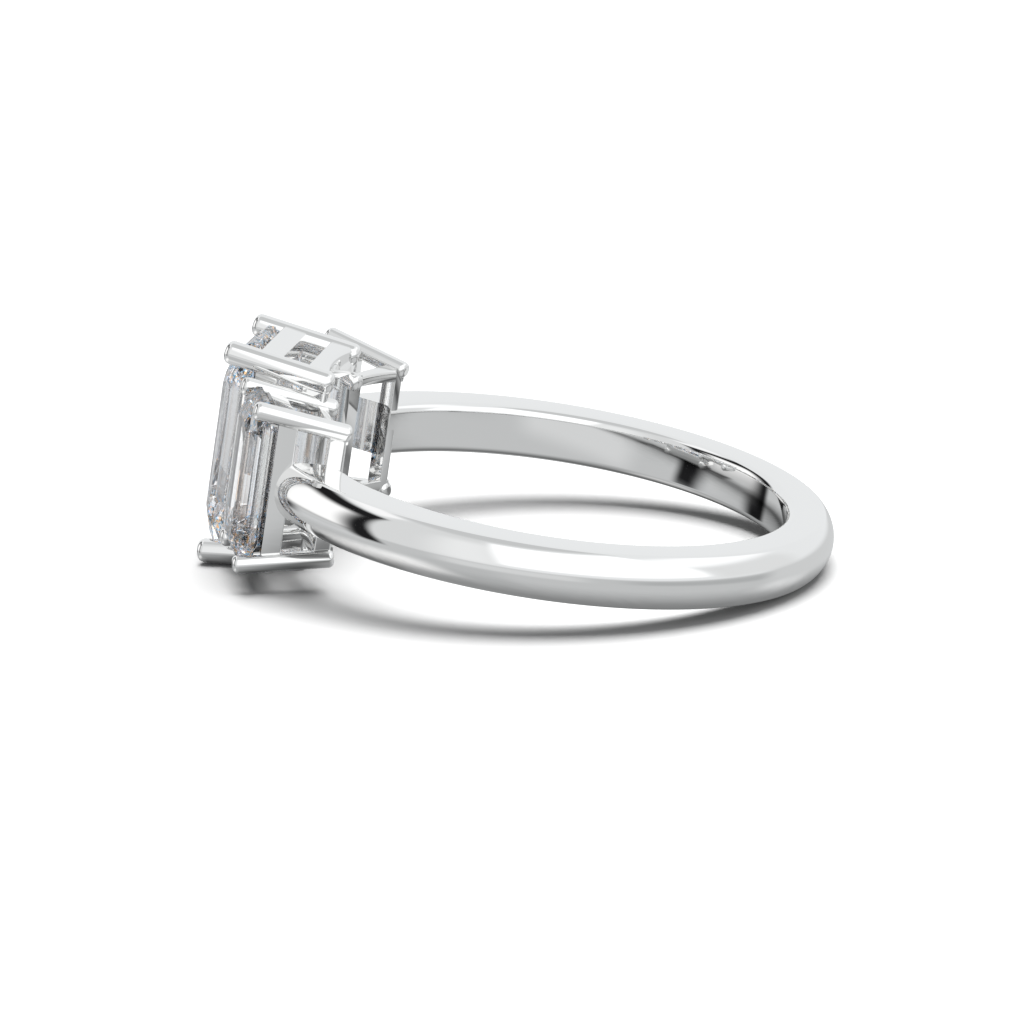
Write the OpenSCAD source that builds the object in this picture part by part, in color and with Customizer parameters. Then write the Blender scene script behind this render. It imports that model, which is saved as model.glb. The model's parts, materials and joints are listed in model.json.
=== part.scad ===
// Three-stone ring lying on its side: an open shank, three four-prong basket heads and three
// step-cut stones with clipped corners. Millimetres. +Z is up, the floor is z = 0, and the ring
// rests on the ends of the middle head's two lower prongs and on the shank opposite the heads.

/* [Finger] */
// Inner diameter of the ring
finger_d = 17.3; // [15.5:0.1:19.5]
// Radius that softens the inner edges of the shank
comfort_r = 0.32; // [0.2:0.02:0.4]

/* [Shank] */
// Width of the shank along the finger
shank_w = 1.98; // [1.7:0.02:2.3]
// Thickness of the shank opposite the heads
shank_t = 1.8; // [1.5:0.02:2.1]
// How far the outer circle is shifted towards the heads, so the shank grows thicker there
shank_shift = 0.29; // [0.1:0.01:0.5]
// Height of the rounded outside above the flat side faces
crown_rise = 0.49; // [0.35:0.01:0.6]

/* [Middle head] */
// Half spacing of the prongs across the finger, centre lines
mid_t = 2.375; // [2.3:0.005:2.5]
// Half spacing of the prongs along the finger at the tips, centre lines
mid_a_tip = 3.75; // [3.65:0.01:3.85]
// Half spacing of the prongs along the finger at the base, centre lines
mid_a_base = 3.33; // [3.25:0.01:3.45]
// Distance of the prong tips from the finger's axis
mid_tip_h = 12.32; // [12.2:0.01:12.6]
// Distance of the prong bases from the finger's axis
mid_base_h = 8.2; // [8.15:0.01:8.35]
// Prong diameter
mid_prong_d = 0.88; // [0.8:0.01:0.95]
// Distance of the gallery rail's lower edge from the finger's axis
mid_gallery_lo = 10.25; // [10.2:0.01:10.45]
// Distance of the gallery rail's upper edge from the finger's axis
mid_gallery_hi = 11.14; // [11.05:0.01:11.2]
// Distance of the base rail's upper edge from the finger's axis
mid_base_hi = 9.29; // [9.2:0.01:9.5]

/* [Side heads] */
// Angle between a side head and the middle head
side_angle = 20.25; // [19.5:0.05:21]
// Shift of a side head away from the middle head, square to its own axis
side_shift = 0.85; // [0.8:0.01:0.95]
// Half spacing of the prongs across the finger, centre lines
side_t = 1.675; // [1.6:0.005:1.7]
// Half spacing of the prongs along the finger at the tips, centre lines
side_a_tip = 2.85; // [2.75:0.01:2.95]
// Half spacing of the prongs along the finger at the base, centre lines
side_a_base = 2.37; // [2.3:0.01:2.45]
// Distance of the prong tips from the finger's axis
side_tip_h = 11.84; // [11.75:0.01:12]
// Distance of the prong bases from the finger's axis
side_base_h = 8.2; // [8.15:0.01:8.3]
// Prong diameter
side_prong_d = 0.68; // [0.6:0.01:0.72]
// Distance of the gallery rail's lower edge from the finger's axis
side_gallery_lo = 10.15; // [10.1:0.01:10.3]
// Distance of the gallery rail's upper edge from the finger's axis
side_gallery_hi = 11.13; // [11.05:0.01:11.15]
// Distance of the base rail's upper edge from the finger's axis
side_base_hi = 8.96; // [8.9:0.01:9.1]

/* [Rails] */
// Thickness of the rails of the side heads
side_rail = 0.45; // [0.35:0.01:0.5]
// Thickness of the rails of the middle head
mid_rail = 0.6; // [0.5:0.01:0.65]
// Thickness of the middle head's base rail on its short sides
mid_end_rail = 1.0; // [0.6:0.01:1.1]
// Thickness of a side head's base rail beside the middle head
side_inner_rail = 0.95; // [0.45:0.01:1.05]
// Bevel along the side heads' gallery rails, under the stone
side_bevel = 0.16; // [0.05:0.01:0.2]
// Bevel along the middle head's gallery rail, under the stone
mid_bevel = 0.08; // [0.05:0.01:0.2]
// How far the shank's ends reach inside the side heads
stub = 0.45; // [0.3:0.01:0.6]
// How far the middle head's long rails stand out from the prongs' centre lines
mid_proud = 0.2; // [0:0.01:0.3]
// How far the middle head's short rails stand out from the prongs' centre lines
mid_proud_end = 0.33; // [0:0.01:0.36]
// How far a side head's rails stand out from the prongs' centre lines
side_proud = 0.03; // [0:0.01:0.2]

/* [Stones] */
// Length of the middle stone
mid_stone_l = 8.1; // [7.9:0.02:8.2]
// Width of the middle stone
mid_stone_w = 5.36; // [5.2:0.02:5.5]
// Corner cut of the middle stone
mid_stone_c = 1.15; // [1.1:0.01:1.25]
// Length of a side stone
side_stone_l = 6.1; // [6:0.02:6.16]
// Width of a side stone
side_stone_w = 3.74; // [3.6:0.02:3.8]
// Corner cut of a side stone
side_stone_c = 0.8; // [0.76:0.01:0.86]
// Gap left between stone and metal
seat_gap = 0.02; // [0.01:0.01:0.05]

/* [Hidden] */
// Share of a prong's radius that its ends are rounded by
tip_round = 0.62;
finger_r = finger_d / 2;
// Radii of the outer circle, about its own shifted centre, at the flat faces and at the top
outer_r = finger_r + shank_t + shank_shift;
flat_r = outer_r - crown_rise;
// Circle of the rounded outside, through both flat faces' edges
half_w = shank_w / 2;
dome_r = (half_w * half_w + crown_rise * crown_rise) / (2 * crown_rise);

// A head is a list: prong diameter, half spacing across, half spacing along at base and tip,
// base and tip heights, gallery and base rail heights, rail thickness, how far the rails stand
// out on the long and on the short sides, the gallery rail's bevel, and the base rail's
// thickness on the short sides and on the long side towards -y
MID = [mid_prong_d, mid_t, mid_a_base, mid_a_tip, mid_base_h, mid_tip_h,
       mid_gallery_lo, mid_gallery_hi, mid_base_hi, mid_rail, mid_proud, mid_proud_end, mid_bevel,
       mid_end_rail, mid_rail];
SIDE = [side_prong_d, side_t, side_a_base, side_a_tip, side_base_h, side_tip_h,
        side_gallery_lo, side_gallery_hi, side_base_hi, side_rail, side_proud, side_proud,
        side_bevel, side_rail, side_inner_rail];

// Slope of a head's prongs, and their half spacing along the finger at a height
function slope(hd) = (hd[3] - hd[2]) / (hd[5] - hd[4] - hd[0]);
function lean(hd) = atan(slope(hd));
function along(hd, h) = hd[2] + slope(hd) * (h - hd[4] - hd[0] / 2);

// Steps of the cut stones, from the keel up to the table: height over the finger's axis, and how
// far the outline is drawn in from the girdle's; rows 4 and 5 are the girdle's two edges
mid_steps = [[9.05, 2.62], [9.87, 1.93], [10.59, 1.13], [11.11, 0.4], [11.33, 0], [11.57, 0],
             [11.93, 0.3], [12.23, 0.75], [12.46, 1.38]];
side_steps = [[9.72, 1.82], [10.22, 1.32], [10.69, 0.76], [10.99, 0.3], [11.17, 0], [11.37, 0],
              [11.6, 0.22], [11.79, 0.52], [11.93, 0.87]];
girdle_row = 4;

// Rest tilt: lowest point of the shank's far edge against the lowest points of the middle head's
// prongs, whose ends are rounded by tip_edge
prong_r = mid_prong_d / 2;
tip_edge = tip_round * prong_r;
ball_back = (prong_r - tip_edge) * cos(lean(MID));
ball_out = (prong_r - tip_edge) * sin(lean(MID));
tip_low = [mid_tip_h - prong_r + ball_back, mid_a_tip + ball_out];
base_low = [mid_base_h + prong_r - ball_back, mid_a_base - ball_out];
function shank_low(b) = -(flat_r - shank_shift) * sin(b) - half_w * cos(b);
function prong_low(b, p) = p[0] * sin(b) - p[1] * cos(b) - (prong_r - tip_edge) * cos(b - lean(MID)) - tip_edge;
function head_low(b) = min(prong_low(b, tip_low), prong_low(b, base_low));
function solve(lo, hi, n) =
    n == 0 ? (lo + hi) / 2 :
    head_low((lo + hi) / 2) < shank_low((lo + hi) / 2) ? solve((lo + hi) / 2, hi, n - 1)
                                                       : solve(lo, (lo + hi) / 2, n - 1);
rest_tilt = solve(2, 20, 30);
rest_lift = -shank_low(rest_tilt);
// Middle of the resting ring's length, from the rounded shank to the middle head's lower tips
x_min = -tip_low[0] * cos(rest_tilt) - tip_low[1] * sin(rest_tilt) - tip_edge
        - (prong_r - tip_edge) * abs(sin(rest_tilt - lean(MID)));
x_max = (outer_r - dome_r - shank_shift) * cos(rest_tilt) + dome_r;
rest_x = -(x_min + x_max) / 2;

// From the ring's own frame, finger along z and heads towards -x, to the way it lies
module at_rest() translate([rest_x, 0, rest_lift]) rotate([0, rest_tilt, 0]) children();

// From a head's frame, outward along z, along the finger x, across it y
module at_mid() rotate([0, -90, 0]) children();
module at_side(s)
    rotate([0, 0, -s * side_angle]) rotate([0, -90, 0]) mirror([0, s < 0 ? 1 : 0, 0])
        translate([0, side_shift, 0]) children();

// One prong: round wire with softened ends, standing on the origin
module prong(d, l) {
    r = d / 2;
    e = tip_round * r;
    rotate_extrude($fn = 48) {
        translate([0, e]) square([r, l - 2 * e]);
        square([r - e, l]);
        intersection() {
            union() {
                translate([r - e, e]) circle(r = e, $fn = 48);
                translate([r - e, l - e]) circle(r = e, $fn = 48);
            }
            square([r, l]);
        }
    }
}

// Section of a rail's bar from its outer face inwards, with the outer upper edge bevelled
function bar_section(lo, hi, out_lo, out_hi, th, cut) =
    concat([[out_lo - th, lo], [out_lo, lo]],
           cut > 0 ? [[out_hi, hi - cut], [out_hi - cut, hi]] : [[out_hi, hi]],
           [[out_hi - th, hi]]);

// A rail round a head between two heights, its short sides following the prongs' lean. th_end is
// its thickness on the short sides, th_low on the long side towards -y
module rail(hd, lo, hi, cut, th_end, th_low) {
    t = hd[1];
    out_t = t + hd[10];
    reach = along(hd, (max(lo, hd[4]) + hi) / 2);
    // long sides, along the finger
    for (s = [0, 1])
        mirror([0, s, 0]) translate([-reach, 0, 0]) rotate([90, 0, 90])
            linear_extrude(2 * reach)
                polygon(bar_section(lo, hi, out_t, out_t, s == 0 ? hd[9] : th_low, cut));
    // short sides, across the finger
    for (s = [0, 1])
        mirror([s, 0, 0]) translate([0, t, 0]) rotate([90, 0, 0])
            linear_extrude(2 * t)
                polygon(bar_section(lo, hi, along(hd, lo) + hd[11], along(hd, hi) + hd[11], th_end, cut));
}

// A four-prong basket: prongs, gallery rail under the stone and base rail on the finger
module basket(hd) {
    l = (hd[5] - hd[4] - hd[0]) / cos(lean(hd)) + hd[0];
    for (sx = [0, 1], sy = [0, 1])
        mirror([sx, 0, 0]) mirror([0, sy, 0])
            translate([along(hd, hd[4] + hd[0] / 2), hd[1], hd[4] + hd[0] / 2]) rotate([0, lean(hd), 0])
                translate([0, 0, -hd[0] / 2]) prong(hd[0], l);
    rail(hd, hd[6], hd[7], hd[12], hd[9], hd[9]);
    rail(hd, hd[4] - 1, hd[8], 0, hd[13], hd[14]);
}

// A step-cut stone as a stack of octagons whose sides stay parallel
function outline(l, w, c, in) =
    let (a = l / 2 - in, b = max(w / 2 - in, 0.04), k = max(min(c - (2 - sqrt(2)) * in, b - 0.02), 0.015))
    [[a, b - k], [a - k, b], [-a + k, b], [-a, b - k], [-a, -b + k], [-a + k, -b], [a - k, -b], [a, -b + k]];
module stone(l, w, c, steps, grow) {
    n = len(steps);
    function z(i) = steps[i][0] + (i > girdle_row ? grow : -grow);
    polyhedron(points = [for (i = [0 : n - 1]) each [for (p = outline(l, w, c, steps[i][1] - grow)) [p[0], p[1], z(i)]]],
               faces = concat([[for (j = [0 : 7]) j]], [[for (j = [7 : -1 : 0]) 8 * (n - 1) + j]],
                              [for (i = [0 : n - 2], j = [0 : 7])
                               [8 * i + (j + 1) % 8, 8 * i + j, 8 * i + 8 + j, 8 * i + 8 + (j + 1) % 8]]));
}
module mid_cut(grow = 0) stone(mid_stone_l, mid_stone_w, mid_stone_c, mid_steps, grow);
module side_cut(grow = 0) stone(side_stone_l, side_stone_w, side_stone_c, side_steps, grow);

// Section of the band: flat side faces and a rounded outside, filled to the axis
module band_section() {
    translate([0, -half_w]) square([outer_r - dome_r, shank_w]);
    intersection() {
        translate([outer_r - dome_r, 0]) circle(r = dome_r, $fn = 96);
        translate([0, -half_w]) square([outer_r + 1, shank_w]);
    }
}

// Section of the finger hole through the band, flared by the softened inner edges
module hole_section() {
    difference() {
        union() {
            translate([0, -half_w - 1]) square([finger_r, shank_w + 2]);
            for (s = [0, 1])
                mirror([0, s]) translate([0, half_w - comfort_r]) square([finger_r + comfort_r, comfort_r + 1]);
        }
        for (s = [0, 1])
            mirror([0, s]) translate([finger_r + comfort_r, half_w - comfort_r]) circle(r = comfort_r, $fn = 96);
    }
}

// The open band, its ends reaching just inside the side heads
module shank() {
    cut = side_shift + side_t + side_proud - stub;
    far = 30;
    difference() {
        translate([-shank_shift, 0, 0]) rotate_extrude($fn = 200) band_section();
        rotate_extrude($fn = 200) hole_section();
        // wedge where the heads stand
        translate([0, 0, -shank_w]) linear_extrude(2 * shank_w)
            polygon([[cut / sin(side_angle), 0], [-far, (cut + far * sin(side_angle)) / cos(side_angle)],
                     [-far, -(cut + far * sin(side_angle)) / cos(side_angle)]]);
    }
}

// The three heads, trimmed to the finger and seated for their stones
module heads() {
    difference() {
        union() {
            at_mid() basket(MID);
            for (s = [-1, 1]) at_side(s) basket(SIDE);
        }
        translate([0, 0, -mid_a_tip - 1]) cylinder(r = finger_r, h = 2 * mid_a_tip + 2, $fn = 200);
        at_mid() mid_cut(seat_gap);
        for (s = [-1, 1]) at_side(s) side_cut(seat_gap);
    }
}

module ring_mount() color("lightgray") at_rest() {
    shank();
    heads();
}
module middle_stone() color("aliceblue") at_rest() at_mid() mid_cut();
module side_stone_near() color("aliceblue") at_rest() at_side(-1) side_cut();
module side_stone_far() color("aliceblue") at_rest() at_side(1) side_cut();

ring_mount();
middle_stone();
side_stone_near();
side_stone_far();
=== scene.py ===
"""Looks of a three-stone ring lying on its side: polished white metal and step-cut stones."""

import json
import math
from collections import namedtuple

import bmesh
import bpy
import numpy as np
from mathutils import Matrix, Vector
from mathutils.bvhtree import BVHTree


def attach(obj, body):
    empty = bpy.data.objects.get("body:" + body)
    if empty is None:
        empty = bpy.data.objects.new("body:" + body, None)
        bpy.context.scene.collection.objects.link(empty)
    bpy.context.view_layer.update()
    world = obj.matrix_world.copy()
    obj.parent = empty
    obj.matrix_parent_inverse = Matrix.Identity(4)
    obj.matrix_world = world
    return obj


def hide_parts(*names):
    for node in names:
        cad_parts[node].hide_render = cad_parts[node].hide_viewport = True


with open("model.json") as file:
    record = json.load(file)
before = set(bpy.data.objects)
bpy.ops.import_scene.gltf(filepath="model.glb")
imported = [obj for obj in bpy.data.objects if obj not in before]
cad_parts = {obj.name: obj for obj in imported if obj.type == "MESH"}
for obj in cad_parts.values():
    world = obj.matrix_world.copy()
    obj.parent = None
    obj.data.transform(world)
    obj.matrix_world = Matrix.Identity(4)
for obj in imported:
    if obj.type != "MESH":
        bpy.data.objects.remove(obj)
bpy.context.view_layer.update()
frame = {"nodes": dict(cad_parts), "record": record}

MM = 0.001
STONES = ("middle_stone", "side_stone_near", "side_stone_far")

# Band, in millimetres, in the ring's own frame: finger along z, heads towards -x
FINGER_R = 8.65
COMFORT_R = 0.32
# Run of the finger hole's wall inwards at its upper edge and outwards at its lower one, which
# sets the height of the heads' mirror image in it
WALL_LEAN = 0.036
SHANK_W = 1.98
SHANK_T = 1.8
SHANK_SHIFT = 0.29
CROWN_RISE = 0.49
# Softening between the flat side faces and the rounded outside
EDGE_R = 0.25
# How far the band's ends reach inside the side heads
STUB = 0.45
# Steps round the band, and over its section's inner edges, outer edges and rounded outside
SHANK_ROWS = 300
COMFORT_STEPS = 8
EDGE_STEPS = 6
CROWN_STEPS = 32

# Heads, in millimetres: outward is h, along the finger is a, across it is t
SIDE_ANGLE = math.radians(20.25)
# Share of a prong's radius that its ends are rounded by
TIP_ROUND = 0.62
PRONG_SIDES = 48
TIP_STEPS = 8
# Softening of the rails' edges, and of those beside the gallery's bevel
RAIL_EDGE_R = 0.045
BEVEL_EDGE_R = 0.02
# Stretches of a base rail's short bars, which follow the finger hole
BASE_STEPS = 24
# A prong's diameter and places, the heights of both rails with the gallery's bevel, the rails'
# thickness, how far they stand out from the prongs' centre lines, the head's shift away from the
# middle one, and the softening of the base rail's outer edge on the finger
Head = namedtuple(
    "Head",
    "prong_d across a_base a_tip base_h tip_h gallery_lo gallery_hi bevel base_hi"
    " rail end_rail inner_rail proud proud_end shift edge_r",
)
MIDDLE = Head(
    prong_d=0.88, across=2.375, a_base=3.33, a_tip=3.75, base_h=8.2, tip_h=12.32,
    gallery_lo=10.25, gallery_hi=11.14, bevel=0.08, base_hi=9.29,
    rail=0.6, end_rail=1.0, inner_rail=0.6, proud=0.2, proud_end=0.33, shift=0.0, edge_r=0.22,
)
SIDE = Head(
    prong_d=0.68, across=1.675, a_base=2.37, a_tip=2.85, base_h=8.2, tip_h=11.84,
    gallery_lo=10.15, gallery_hi=11.13, bevel=0.28, base_hi=8.96,
    rail=0.45, end_rail=0.45, inner_rail=0.95, proud=0.03, proud_end=0.03, shift=0.85, edge_r=0.13,
)

# Metal: its colour, and a darker copy of it, painted shade on the gallery's bevel, whose faces rise
# between these slopes. Its polishing marks: how many in a metre, their detail and their roughness.
METAL = (0.90, 0.90, 0.895, 1)
BEVEL_PAINTED_SHADE = (0.24, 0.24, 0.245, 1)
BEVEL_RISE = (0.6, 0.8)
MARKS_SCALE = 900
MARKS_DETAIL = 6
MARKS_ROUGHNESS = (0.02, 0.05)

STONE_IOR = 2.417
# The stones' ends, by height: painted sparkle of larger flakes of light and dark, and smaller painted
# glints of fire. Each has its cells in a metre, and its colours with the share of the cells that they
# start from.
ENDS = ((0.28, 0.2), (0.8, 0.86))
PAINTED_SPARKLE_SCALE = 4800
PAINTED_SPARKLE = ((0.0, (1, 1, 1)), (0.8, (0.001, 0.001, 0.001)), (0.89, (0.65, 0.66, 0.67)))
PAINTED_GLINT_SCALE = 11000
PAINTED_GLINTS = (
    (0.0, (1, 1, 1)),
    (0.52, (1, 0.4, 0.1)),
    (0.67, (0.12, 0.48, 1)),
    (0.86, (1, 0.82, 1)),
)
# Painted step reflections along the stones: how many in a metre across and along, and their shades
PAINTED_STEP_REFLECTION_SCALE = (4200, 4200, 60)
PAINTED_STEP_REFLECTIONS = (
    (0.0, (0.3, 0.3, 0.31)),
    (0.37, (0.34, 0.34, 0.36)),
    (0.39, (0.87, 0.85, 0.83)),
    (0.43, (1, 1, 0.98)),
    (0.52, (0.96, 0.98, 1)),
    (0.55, (1, 1, 1)),
    (0.57, (0.78, 0.735, 0.715)),
    (0.63, (0.9, 0.95, 1)),
)

# Studio, by direction in degrees: azimuth 0 is -y and 90 is +x. Later panels cover earlier ones.
# Width and height are half of the panel's, and lean is its run in azimuth for each degree up.
Panel = namedtuple("Panel", "azimuth width soft elevation height soft_up lean colour")
STUDIO_GREY = (0.87, 0.885, 0.895)
PANELS = [
    # upper room: left of the camera, right, ceiling
    Panel(-38, 32, 7, 28, 40, 6, 0, (0.74, 0.75, 0.755)),
    Panel(-16, 14, 12, 26, 30, 10, 0, (0.90, 0.91, 0.915)),
    Panel(106, 22, 6, 12, 14, 5, 0, (0.79, 0.80, 0.805)),
    Panel(0, 200, 1, 90, 22, 5, 0, (0.61, 0.62, 0.625)),
    # lower room: all of it, its front, its right, its back at the right, the bright patch at the left
    Panel(0, 200, 1, -50, 46, 3, 0, (0.57, 0.58, 0.585)),
    Panel(-28, 18, 8, -40, 18, 8, 0, (0.52, 0.53, 0.535)),
    Panel(-3, 28, 8, -13, 7, 4, 0, (0.70, 0.71, 0.715)),
    Panel(80, 35, 12, -12.5, 5.5, 4, 0, (0.455, 0.465, 0.47)),
    Panel(146, 36, 8, -11, 10, 5, 0, (0.65, 0.66, 0.665)),
    Panel(132, 16, 10, -32, 8, 8, 0, (0.78, 0.79, 0.795)),
    Panel(-84, 34, 15, -45, 11, 9, 0, (1.08, 1.08, 1.08)),
    # large soft box at the right front, with a wing further right
    Panel(38, 42, 4, 34, 30, 3, 0, (1.25, 1.26, 1.27)),
    Panel(100, 32, 6, 42, 12, 5, 0, (1.12, 1.13, 1.14)),
    # window at the left: light strip over it, dark frame, bright pane, grey sill, wall under it
    Panel(-101, 28, 4, 61, 5, 3, 0, (1.05, 1.05, 1.06)),
    Panel(-90.5, 32.5, 3, 18, 34, 3, -0.1, (0.014, 0.014, 0.015)),
    Panel(-92, 19, 7, 15.5, 21.5, 5, 0, (1.12, 1.12, 1.12)),
    Panel(-88, 16, 6, -10, 3.5, 2, 0, (0.62, 0.63, 0.635)),
    Panel(-88, 18, 6, -16, 4, 3, 0, (0.64, 0.65, 0.66)),
]
DOME_R = 4.0
DOME_STEPS = 360
# The studio as the stones show it: brighter, its red and blue turned to either side of the green,
# and strewn with spots, large ones that set the facets off and small ones that glint
STONE_LEAST = 0.12
STONE_SHARE = 1.12
FIRE = math.radians(1.0)
FIRE_AXIS = (0.35, -0.45, 0.82)
SPOT_SEED = 103
# A spot fades between these shares of its reach, which lies between least and most, in degrees
SPOT_FADE = (0.8, 1.2)
Spots = namedtuple("Spots", "count least most shades")
SPOTS = [
    Spots(170, 5, 12, ((0.12, 0.12, 0.13), (1.6, 1.6, 1.6), (0.5, 0.49, 0.5), (1.05, 1.08, 1.1))),
    Spots(420, 1.2, 2.6, ((1.5, 1.2, 1.0), (0.95, 1.15, 1.5), (2.2, 2.2, 2.2), (0.06, 0.06, 0.07))),
]

# Floor
FLOOR_R = 2.0
FLOOR_SIDES = 96
FLOOR_GREY = 0.26
FLOOR_ROUGHNESS = 0.9
# Its shade as the ring mirrors it: half width, spacing, place, rays to the light, least light left
SHADE_REACH = 16 * MM
SHADE_STEP = 0.32 * MM
SHADE_Z = -0.005 * MM
SHADE_RAYS = 48
SHADE_LEAST = 0.1
# Share of it that is kept outside the band, which hardly mirrors it. It falls to this between
# these distances from the finger hole's middle, and between these places along x.
SHADE_OUTSIDE = 0.63
SHADE_ROUND = (8.8 * MM, 10 * MM)
SHADE_BESIDE = (-5 * MM, -2 * MM)

# Key light: a round soft box over and behind the ring
KEY_AZIMUTH = math.radians(181)
KEY_ELEVATION = math.radians(75.5)
KEY_SPREAD = math.radians(31)
KEY_DISTANCE = 1.5
KEY_WATTS = 143.0
# Turn from one ray of its disc to the next, which spreads them evenly
GOLDEN_TURN = math.pi * (3 - math.sqrt(5))

# Camera: fitted to the photograph's outlines
CAMERA_AIM = Vector((-0.27, 0.0, 1.84)) * MM
CAMERA_AZIMUTH = math.radians(9.83)
CAMERA_ELEVATION = math.radians(14.05)
CAMERA_DISTANCE = 205.36 * MM
CAMERA_LENS = 196.73
CAMERA_SENSOR = 36
CAMERA_CLIP = (0.01, 10)

# Bounces that light makes between the facets before it is dropped
BOUNCES = 32


def rest_matrix():
    """From the ring's own frame in millimetres to the row's frame, by the finger hole's place."""
    hole = next(m for m in frame["record"]["mounts"] if m["name"] == "finger_hole")
    turn = Vector((0, 0, 1)).rotation_difference(Vector(hole["axis"])).to_matrix().to_4x4()
    return Matrix.Translation(hole["pos_m"]) @ turn @ Matrix.Scale(MM, 4)


def head_matrix(side, shift):
    """From a head's frame (a, t, h) to the ring's own frame. side is -1 near, 0 middle, 1 far."""
    outward = Matrix(((0, 0, -1, 0), (0, 1, 0, 0), (1, 0, 0, 0), (0, 0, 0, 1)))
    return Matrix.Rotation(-side * SIDE_ANGLE, 4, "Z") @ outward @ Matrix.Translation((0, side * shift, 0))


AT_REST = rest_matrix()


def arc(centre, radius, start, stop, steps):
    """Points of an arc, both ends included. Angles are in degrees."""
    turns = [math.radians(start + (stop - start) * i / steps) for i in range(steps + 1)]
    return [(centre[0] + radius * math.cos(a), centre[1] + radius * math.sin(a)) for a in turns]


def rounded(corners, radii, steps=4):
    """A convex polygon with each corner replaced by an arc of its radius."""
    points = []
    count = len(corners)
    for i, radius in enumerate(radii):
        here = Vector(corners[i])
        back = (Vector(corners[i - 1]) - here).normalized()
        ahead = (Vector(corners[(i + 1) % count]) - here).normalized()
        half = back.angle(ahead) / 2
        centre = here + (back + ahead).normalized() * (radius / math.sin(half))
        start = math.atan2(*reversed(here + back * (radius / math.tan(half)) - centre))
        stop = math.atan2(*reversed(here + ahead * (radius / math.tan(half)) - centre))
        sweep = math.remainder(stop - start, 2 * math.pi)
        points += arc(centre, radius, math.degrees(start), math.degrees(start + sweep), steps)
    return points


def loft(bm, rows, matrix):
    """Closed rings of points joined by quads, with flat ends that keep a sharp rim."""
    rings = [[bm.verts.new(matrix @ Vector(p)) for p in row] for row in rows]
    count = len(rows[0])
    for low, high in zip(rings, rings[1:]):
        for j in range(count):
            bm.faces.new((low[j], low[(j + 1) % count], high[(j + 1) % count], high[j]))
    for ring in (rings[0], rings[-1]):
        cap = bm.faces.new(ring)
        for edge in cap.edges:
            edge.smooth = False


def add_object(name, data):
    """A new object of the scene."""
    obj = bpy.data.objects.new(name, data)
    bpy.context.scene.collection.objects.link(obj)
    return obj


def to_mesh(name, bm):
    """The mesh of a bmesh, which is freed."""
    mesh = bpy.data.meshes.new(name)
    bm.to_mesh(mesh)
    bm.free()
    return mesh


def piece(name, bm, material):
    """A named piece from a mesh, smooth but flat where its faces are large."""
    bmesh.ops.recalc_face_normals(bm, faces=bm.faces)
    for face in bm.faces:
        face.smooth = True
    mesh = to_mesh(name, bm)
    mesh.materials.append(material)
    obj = add_object(name, mesh)
    weighted = obj.modifiers.new("weighted normals", "WEIGHTED_NORMAL")
    weighted.keep_sharp = True
    weighted.weight = 100
    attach(obj, "root")
    return obj


def shank_profile():
    """The band's closed section as (circle centre x, radius about it, height)."""
    half = SHANK_W / 2
    outer_r = FINGER_R + SHANK_T + SHANK_SHIFT
    dome_r = (half * half + CROWN_RISE * CROWN_RISE) / (2 * CROWN_RISE)
    dome_at = outer_r - dome_r
    meet = math.degrees(math.asin((half - EDGE_R) / (dome_r - EDGE_R)))
    edge_at = dome_at + (dome_r - EDGE_R) * math.cos(math.radians(meet))
    low, high = -half + COMFORT_R, half - COMFORT_R
    inner = arc((FINGER_R + COMFORT_R + WALL_LEAN, low), COMFORT_R, 270, 180, COMFORT_STEPS)
    inner += arc((FINGER_R + COMFORT_R - WALL_LEAN, high), COMFORT_R, 180, 90, COMFORT_STEPS)
    outer = arc((edge_at, half - EDGE_R), EDGE_R, 90, meet, EDGE_STEPS)
    outer += arc((dome_at, 0), dome_r, meet, -meet, CROWN_STEPS)[1:-1]
    outer += arc((edge_at, -half + EDGE_R), EDGE_R, -meet, -90, EDGE_STEPS)
    return [(0.0, r, z) for r, z in inner] + [(-SHANK_SHIFT, r, z) for r, z in outer]


def build_band(material):
    """The open band, each line of it running between the side heads' planes."""
    plane_t = SIDE.shift + SIDE.across + SIDE.proud - STUB
    profile = shank_profile()
    ends = [
        math.pi - SIDE_ANGLE - math.asin((plane_t - x * math.sin(SIDE_ANGLE)) / r)
        for x, r, z in profile
    ]
    rows = []
    for i in range(SHANK_ROWS + 1):
        share = 2 * i / SHANK_ROWS - 1
        rows.append(
            [
                (x + r * math.cos(share * end), r * math.sin(share * end), z)
                for (x, r, z), end in zip(profile, ends)
            ]
        )
    bm = bmesh.new()
    loft(bm, rows, AT_REST)
    return piece("band", bm, material)


def lean_of(head):
    """Run of a head's prongs along the finger for each millimetre outward."""
    return (head.a_tip - head.a_base) / (head.tip_h - head.base_h - head.prong_d)


def along(head, h):
    """Distance of a head's prongs from its middle, along the finger, at a height."""
    return head.a_base + lean_of(head) * (h - head.base_h - head.prong_d / 2)


def prong_rows(head):
    """Rings of one prong standing on the origin: round wire with softened ends."""
    radius = head.prong_d / 2
    edge = TIP_ROUND * radius
    length = (head.tip_h - head.base_h - head.prong_d) * math.hypot(1, lean_of(head)) + head.prong_d
    profile = arc((radius - edge, edge), edge, 270, 360, TIP_STEPS)
    profile += arc((radius - edge, length - edge), edge, 0, 90, TIP_STEPS)
    angles = [2 * math.pi * k / PRONG_SIDES for k in range(PRONG_SIDES)]
    return [[(r * math.cos(a), r * math.sin(a), z) for a in angles] for r, z in profile]


def add_prongs(bm, head, place):
    """The head's four prongs."""
    rows = prong_rows(head)
    foot_h = head.base_h + head.prong_d / 2
    for a_sign in (-1, 1):
        for t_sign in (-1, 1):
            foot = Matrix.Translation((a_sign * along(head, foot_h), t_sign * head.across, foot_h))
            tilt = Matrix.Rotation(a_sign * math.atan(lean_of(head)), 4, "Y")
            down = Matrix.Translation((0, 0, -head.prong_d / 2))
            loft(bm, rows, place @ foot @ tilt @ down)


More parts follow.
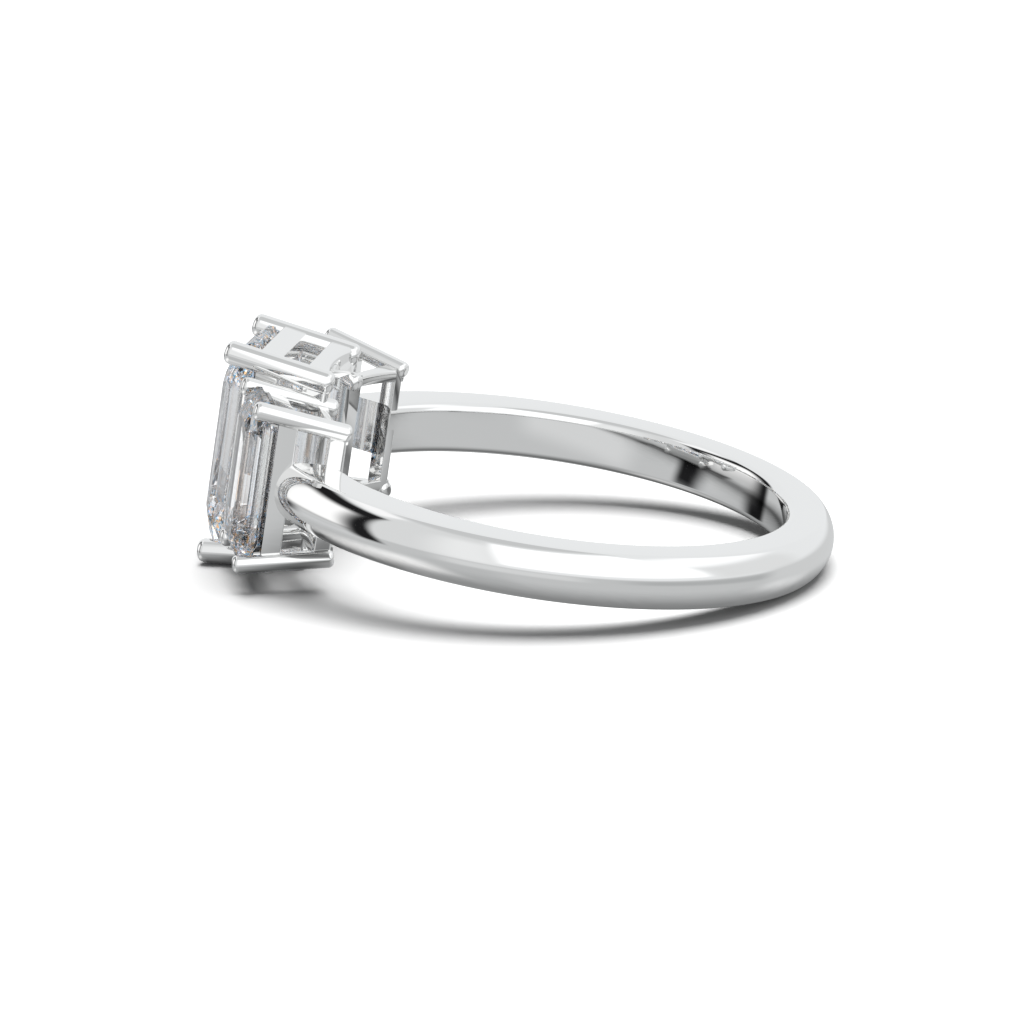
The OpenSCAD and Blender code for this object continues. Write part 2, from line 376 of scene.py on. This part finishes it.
def finger_h(head, t):
    """Height over the finger's axis of the finger hole's wall at a distance across the head."""
    return math.sqrt(FINGER_R**2 - (head.shift + t) ** 2)


def add_rails(bm, head, place, side):
    """Gallery rail under the stone and base rail on the finger, each of two long and two short bars."""
    bevelled = [RAIL_EDGE_R, RAIL_EDGE_R, BEVEL_EDGE_R, BEVEL_EDGE_R, RAIL_EDGE_R]
    soft = [RAIL_EDGE_R, head.edge_r, RAIL_EDGE_R, RAIL_EDGE_R]
    out_t = head.across + head.proud
    lo, hi, cut = head.gallery_lo, head.gallery_hi, head.bevel

    def long_bar(section, radii, sign, reach):
        flat = rounded([(sign * t, h) for t, h in section][:: int(sign)], radii[:: int(sign)])
        loft(bm, [[(a, t, h) for t, h in flat] for a in (-reach, reach)], place)

    for sign in (-1, 1):
        in_t = out_t - head.rail
        gallery = [(in_t, lo), (out_t, lo), (out_t, hi - cut), (out_t - cut, hi), (in_t, hi)]
        long_bar(gallery, bevelled, sign, along(head, (lo + hi) / 2))
        in_t = out_t - (head.inner_rail if sign * side < 0 else head.rail)
        inner_low = finger_h(head, sign * side * in_t)
        outer_low = finger_h(head, sign * side * out_t)
        base = [(in_t, inner_low), (out_t, outer_low), (out_t, head.base_hi), (in_t, head.base_hi)]
        long_bar(base, soft, sign, along(head, head.base_hi))

    def short_section(low, high, bevel, thickness, radii):
        outer_low, outer_high = along(head, low) + head.proud_end, along(head, high) + head.proud_end
        corners = [(outer_low - thickness, low), (outer_low, low)]
        if bevel:
            corners += [(outer_high, high - bevel), (outer_high - bevel, high)]
        else:
            corners += [(outer_high, high)]
        return rounded(corners + [(outer_high - thickness, high)], radii)

    for sign in (-1, 1):
        top = short_section(lo, hi, cut, head.rail, bevelled)
        loft(bm, [[(sign * a, t, h) for a, h in top] for t in (-head.across, head.across)], place)
        rows = []
        for k in range(BASE_STEPS + 1):
            t = head.across * (2 * k / BASE_STEPS - 1)
            section = short_section(finger_h(head, side * t), head.base_hi, 0, head.end_rail, soft)
            rows.append([(sign * a, t, h) for a, h in section])
        loft(bm, rows, place)


def build_basket(name, head, side, material, bevel_shade):
    """A four-prong open basket, with painted shade on its gallery's bevel from a darker copy of the metal.
    """
    bm = bmesh.new()
    place = AT_REST @ head_matrix(side, head.shift)
    add_prongs(bm, head, place)
    add_rails(bm, head, place, side or 1)
    basket = piece(name, bm, material)
    basket.data.materials.append(bevel_shade)
    # Painted shade: the faces of the gallery's bevel take the darker copy of the metal
    back = place.inverted()
    for face in basket.data.polygons:
        rise = (back.to_3x3() @ face.normal).normalized().z
        over = (back @ face.center).z - (head.gallery_hi - head.bevel)
        if BEVEL_RISE[0] < rise < BEVEL_RISE[1] and 0 < over < head.bevel:
            face.material_index = 1
    return basket


def new_material(name):
    """A node material and its Principled shader."""
    material = bpy.data.materials.new(name)
    material.use_nodes = True
    shader = next(n for n in material.node_tree.nodes if n.type == "BSDF_PRINCIPLED")
    return material, shader


def empty_material(name):
    """A node material with no shader yet, its nodes, its links and its surface's socket."""
    material = bpy.data.materials.new(name)
    material.use_nodes = True
    nodes = material.node_tree.nodes
    nodes.clear()
    surface = nodes.new("ShaderNodeOutputMaterial").inputs["Surface"]
    return material, nodes, material.node_tree.links, surface


def make_metal(name, colour):
    """Mirror-polished white precious metal with faint polishing marks."""
    material, shader = new_material(name)
    nodes, links = material.node_tree.nodes, material.node_tree.links
    shader.inputs["Base Color"].default_value = colour
    shader.inputs["Metallic"].default_value = 1.0
    place = nodes.new("ShaderNodeTexCoord")
    marks = nodes.new("ShaderNodeTexNoise")
    marks.inputs["Scale"].default_value = MARKS_SCALE
    marks.inputs["Detail"].default_value = MARKS_DETAIL
    spread = nodes.new("ShaderNodeMapRange")
    spread.inputs["To Min"].default_value = MARKS_ROUGHNESS[0]
    spread.inputs["To Max"].default_value = MARKS_ROUGHNESS[1]
    links.new(place.outputs["Object"], marks.inputs["Vector"])
    links.new(marks.outputs["Fac"], spread.inputs["Value"])
    links.new(spread.outputs["Result"], shader.inputs["Roughness"])
    return material


def add_ramp(nodes, stops, interpolation):
    """A colour ramp with these stops."""
    ramp = nodes.new("ShaderNodeValToRGB")
    ramp.color_ramp.interpolation = interpolation
    for k, (start, colour) in enumerate(stops):
        stop = ramp.color_ramp.elements[k] if k < 2 else ramp.color_ramp.elements.new(start)
        stop.position = start
        stop.color = (*colour, 1)
    return ramp


def add_cells(nodes, links, place, scale, stops):
    """Colours strewn over small cells, each by its lot."""
    cells = nodes.new("ShaderNodeTexVoronoi")
    cells.inputs["Scale"].default_value = scale
    links.new(place, cells.inputs["Vector"])
    lot = nodes.new("ShaderNodeSeparateColor")
    links.new(cells.outputs["Color"], lot.inputs[0])
    colours = add_ramp(nodes, stops, "CONSTANT")
    links.new(lot.outputs["Red"], colours.inputs["Fac"])
    return colours.outputs["Color"]


def add_painted_step_reflections(nodes, links, place):
    """Painted step reflections: shades drawn out along the ring's own z."""
    stretch = nodes.new("ShaderNodeMapping")
    stretch.vector_type = "TEXTURE"
    stretch.inputs["Rotation"].default_value = AT_REST.to_euler()
    stretch.inputs["Scale"].default_value = [1 / share for share in PAINTED_STEP_REFLECTION_SCALE]
    links.new(place, stretch.inputs["Vector"])
    lines = nodes.new("ShaderNodeTexNoise")
    lines.inputs["Scale"].default_value = 1
    links.new(stretch.outputs["Vector"], lines.inputs["Vector"])
    painted_reflections = add_ramp(nodes, PAINTED_STEP_REFLECTIONS, "LINEAR")
    links.new(lines.outputs["Fac"], painted_reflections.inputs["Fac"])
    return painted_reflections.outputs["Color"]


def add_ends(nodes, links, generated):
    """A share that rises from nothing to one towards both ends of a stone."""
    height = nodes.new("ShaderNodeSeparateXYZ")
    links.new(generated, height.inputs[0])
    ends = nodes.new("ShaderNodeMath")
    ends.operation = "MAXIMUM"
    for socket, (near, far) in zip(ends.inputs, ENDS):
        share = nodes.new("ShaderNodeMapRange")
        share.inputs["From Min"].default_value = near
        share.inputs["From Max"].default_value = far
        links.new(height.outputs["Z"], share.inputs["Value"])
        links.new(share.outputs["Result"], socket)
    return ends.outputs[0]


def add_mix(nodes, links, low, high):
    """A mix of two colours."""
    mix = nodes.new("ShaderNodeMix")
    mix.data_type = "RGBA"
    links.new(low, mix.inputs["A"])
    links.new(high, mix.inputs["B"])
    return mix


def make_stone():
    """Colourless stone of high index: painted step reflections along it, painted sparkle and fire at its
    ends.
    """
    material, shader = new_material("colourless_stone")
    nodes, links = material.node_tree.nodes, material.node_tree.links
    shader.inputs["Roughness"].default_value = 0.0
    shader.inputs["IOR"].default_value = STONE_IOR
    shader.inputs["Transmission Weight"].default_value = 1.0
    place = nodes.new("ShaderNodeTexCoord")
    # Painted sparkle and painted glints of fire, strewn over cells of the base colour
    painted_sparkle = add_cells(nodes, links, place.outputs["Object"], PAINTED_SPARKLE_SCALE, PAINTED_SPARKLE)
    painted_glints = add_cells(nodes, links, place.outputs["Object"], PAINTED_GLINT_SCALE, PAINTED_GLINTS)
    both = add_mix(nodes, links, painted_sparkle, painted_glints)
    both.blend_type = "MULTIPLY"
    both.inputs["Factor"].default_value = 1
    painted_reflections = add_painted_step_reflections(nodes, links, place.outputs["Object"])
    # The painted sparkle and glints take over from the painted step reflections towards the stones' ends
    fire = add_mix(nodes, links, painted_reflections, both.outputs["Result"])
    links.new(add_ends(nodes, links, place.outputs["Generated"]), fire.inputs["Factor"])
    links.new(fire.outputs["Result"], shader.inputs["Base Color"])
    return material


def direction(azimuth, elevation):
    """Unit vector of a direction, azimuth 0 being -y and 90 degrees +x."""
    level = math.cos(elevation)
    return Vector((math.sin(azimuth) * level, -math.cos(azimuth) * level, math.sin(elevation)))


def make_floor():
    """The floor, burnt out to white by the key light."""
    material, shader = new_material("pale_floor")
    shader.inputs["Base Color"].default_value = (FLOOR_GREY, FLOOR_GREY, FLOOR_GREY, 1)
    shader.inputs["Roughness"].default_value = FLOOR_ROUGHNESS
    shader.inputs["Specular IOR Level"].default_value = 0.0
    bm = bmesh.new()
    bmesh.ops.create_circle(bm, cap_ends=True, segments=FLOOR_SIDES, radius=FLOOR_R)
    mesh = to_mesh("floor", bm)
    mesh.materials.append(material)
    floor = add_object("floor", mesh)
    floor.visible_glossy = False
    floor.visible_transmission = False


def key_rays():
    """Directions spread evenly over the key light, each with its share of the light on the floor."""
    centre = direction(KEY_AZIMUTH, KEY_ELEVATION)
    across = centre.cross(Vector((1, 0, 0))).normalized()
    beside = centre.cross(across)
    rays = []
    for k in range(SHADE_RAYS):
        off = math.tan(KEY_SPREAD) * math.sqrt((k + 0.5) / SHADE_RAYS)
        turn = k * GOLDEN_TURN
        ray = (centre + off * (math.cos(turn) * across + math.sin(turn) * beside)).normalized()
        rays.append((ray, ray.z * ray.dot(centre) ** 3))
    return rays


def fade(value, near, far):
    """One while a value is under near, falling smoothly to nothing at far."""
    share = np.clip((far - value) / (far - near), 0, 1)
    return share * share * (3 - 2 * share)


def surface_tree(solids):
    """All the solids' faces, for rays to meet."""
    points, faces = [], []
    for solid in solids:
        faces += [[len(points) + i for i in face.vertices] for face in solid.data.polygons]
        points += [solid.matrix_world @ v.co for v in solid.data.vertices]
    return BVHTree.FromPolygons(points, faces)


def grid_faces(steps):
    """Faces of a square grid, as rows of point numbers."""
    i, j = np.meshgrid(np.arange(steps), np.arange(steps))
    low, high = j * (steps + 1) + i, (j + 1) * (steps + 1) + i
    return np.stack([low, low + 1, high + 1, high], -1).reshape(-1, 4).tolist()


def make_shade(solids):
    """The key light's shade on the floor as the ring mirrors it: a sheet that dims the lower room."""
    tree = surface_tree(solids)
    rays = key_rays()
    whole = sum(share for ray, share in rays)
    steps = round(2 * SHADE_REACH / SHADE_STEP)
    centre = Vector((AT_REST.translation.x, 0, 0))
    places = []
    left = []
    for j in range(steps + 1):
        for i in range(steps + 1):
            place = Vector((i * SHADE_STEP - SHADE_REACH, j * SHADE_STEP - SHADE_REACH, SHADE_Z))
            lit = sum(share for ray, share in rays if tree.ray_cast(place, ray)[0] is None)
            places.append(place)
            outside = 1 - float(fade((place - centre).length, *SHADE_ROUND))
            outside *= 1 - float(fade(place.x, *SHADE_BESIDE))
            thin = 1 - (1 - SHADE_OUTSIDE) * outside
            left.append(1 - thin * (1 - SHADE_LEAST) * (1 - lit / whole))
    mesh = bpy.data.meshes.new("floor_shade")
    mesh.from_pydata(places, [], grid_faces(steps))
    layer = mesh.attributes.new("left", "FLOAT", "POINT")
    layer.data.foreach_set("value", left)
    material, nodes, links, surface = empty_material("floor_shade")
    veil = nodes.new("ShaderNodeBsdfTransparent")
    light = nodes.new("ShaderNodeAttribute")
    light.attribute_name = "left"
    links.new(light.outputs["Fac"], veil.inputs["Color"])
    links.new(veil.outputs[0], surface)
    mesh.materials.append(material)
    sheet = add_object("floor_shade", mesh)
    sheet.visible_camera = False
    sheet.visible_diffuse = False
    sheet.visible_shadow = False


def studio_colours(towards):
    """The studio's colours in some directions: panels painted over one another on grey."""
    azimuth = np.degrees(np.arctan2(towards[:, 0], -towards[:, 1]))
    elevation = np.degrees(np.arcsin(np.clip(towards[:, 2], -1, 1)))
    colours = np.tile(STUDIO_GREY, (len(towards), 1))
    for panel in PANELS:
        off = azimuth - panel.lean * elevation - panel.azimuth
        off = np.abs((off + 180) % 360 - 180)
        rise = np.abs(elevation - panel.elevation)
        cover = fade(off, panel.width - panel.soft, panel.width + panel.soft)
        cover = cover * fade(rise, panel.height - panel.soft_up, panel.height + panel.soft_up)
        colours += cover[:, None] * (np.array(panel.colour) - colours)
    return colours


def stone_colours(towards):
    """The studio's colours as the stones show them."""
    bands = []
    for channel, side in enumerate((1, 0, -1)):
        turn = np.array(Matrix.Rotation(side * FIRE, 3, Vector(FIRE_AXIS)))
        bands.append(studio_colours(towards @ turn.T)[:, channel])
    colours = STONE_LEAST + STONE_SHARE * np.stack(bands, -1)
    chance = np.random.default_rng(SPOT_SEED)
    for spots in SPOTS:
        for k in range(spots.count):
            centre = chance.normal(size=3)
            centre /= np.linalg.norm(centre)
            reach = chance.uniform(spots.least, spots.most)
            shade = spots.shades[chance.integers(len(spots.shades))]
            away = np.degrees(np.arccos(np.clip(towards @ centre, -1, 1)))
            cover = fade(away, SPOT_FADE[0] * reach, SPOT_FADE[1] * reach)
            colours += cover[:, None] * (np.array(shade) - colours)
    return colours


def make_dome():
    """The studio as a glowing dome, with colours of its own for what is seen through a stone."""
    rings = DOME_STEPS // 2
    level = np.radians(np.linspace(-90, 90, rings + 1))
    round_about = np.radians(np.arange(DOME_STEPS) * 360 / DOME_STEPS)
    e, a = np.meshgrid(level, round_about, indexing="ij")
    towards = np.stack([np.sin(a) * np.cos(e), -np.cos(a) * np.cos(e), np.sin(e)], -1).reshape(-1, 3)
    i, j = np.meshgrid(np.arange(rings), np.arange(DOME_STEPS), indexing="ij")
    low, high, on = i * DOME_STEPS, (i + 1) * DOME_STEPS, (j + 1) % DOME_STEPS
    faces = np.stack([low + j, low + on, high + on, high + j], -1).reshape(-1, 4)
    mesh = bpy.data.meshes.new("dome")
    mesh.from_pydata((towards * DOME_R).tolist(), [], faces.tolist())
    for name, colours in (("plain", studio_colours(towards)), ("fire", stone_colours(towards))):
        layer = mesh.color_attributes.new(name, "FLOAT_COLOR", "POINT")
        layer.data.foreach_set("color", np.hstack([colours, np.ones((len(colours), 1))]).ravel())
    material, nodes, links, surface = empty_material("studio")
    material.cycles.emission_sampling = "NONE"
    mix = nodes.new("ShaderNodeMixShader")
    path = nodes.new("ShaderNodeLightPath")
    seen_through = nodes.new("ShaderNodeMath")
    seen_through.operation = "GREATER_THAN"
    seen_through.inputs[1].default_value = 0.5
    links.new(path.outputs["Transmission Depth"], seen_through.inputs[0])
    links.new(seen_through.outputs[0], mix.inputs[0])
    links.new(mix.outputs[0], surface)
    for slot, name in ((1, "plain"), (2, "fire")):
        layer = nodes.new("ShaderNodeAttribute")
        layer.attribute_name = name
        glow = nodes.new("ShaderNodeEmission")
        links.new(layer.outputs["Color"], glow.inputs["Color"])
        links.new(glow.outputs[0], mix.inputs[slot])
    mesh.materials.append(material)
    dome = add_object("dome", mesh)
    dome.visible_shadow = False


def make_key():
    """The round soft box that draws the shadows on the floor."""
    data = bpy.data.lights.new("key", "AREA")
    data.shape = "DISK"
    data.size = 2 * KEY_DISTANCE * math.tan(KEY_SPREAD)
    data.energy = KEY_WATTS
    key = add_object("key", data)
    towards = direction(KEY_AZIMUTH, KEY_ELEVATION)
    key.location = towards * KEY_DISTANCE
    key.rotation_euler = towards.to_track_quat("Z", "Y").to_euler()
    key.visible_glossy = False
    key.visible_transmission = False


def make_camera():
    """The photograph's view."""
    back = direction(CAMERA_AZIMUTH, CAMERA_ELEVATION)
    data = bpy.data.cameras.new("camera")
    data.lens = CAMERA_LENS
    data.sensor_width = CAMERA_SENSOR
    data.clip_start, data.clip_end = CAMERA_CLIP
    camera = add_object("camera", data)
    camera.location = CAMERA_AIM + back * CAMERA_DISTANCE
    camera.rotation_euler = (-back).to_track_quat("-Z", "Y").to_euler()
    bpy.context.scene.camera = camera


def dress_stones(material):
    """The cut stones are the CAD's own facets."""
    for name in STONES:
        node = frame["nodes"][name]
        node.data.materials.clear()
        node.data.materials.append(material)
        for face in node.data.polygons:
            face.use_smooth = False


metal = make_metal("polished_white_metal", METAL)
# A darker copy of the metal, painted shade for the gallery's bevel under the stones
bevel_painted_shade_metal = make_metal("white_metal_painted_shade", BEVEL_PAINTED_SHADE)
parts = [
    build_band(metal),
    build_basket("middle_basket", MIDDLE, 0, metal, bevel_painted_shade_metal),
    build_basket("side_basket_near", SIDE, -1, metal, bevel_painted_shade_metal),
    build_basket("side_basket_far", SIDE, 1, metal, bevel_painted_shade_metal),
]
for part in parts:
    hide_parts("ring_mount")
dress_stones(make_stone())
bpy.context.view_layer.update()
make_floor()
make_shade(parts + [frame["nodes"][name] for name in STONES])
make_dome()
make_key()
make_camera()

scene = bpy.context.scene
scene.view_settings.view_transform = "Standard"
scene.cycles.max_bounces = BOUNCES
scene.cycles.transmission_bounces = BOUNCES
scene.cycles.glossy_bounces = BOUNCES

bpy.context.view_layer.update()
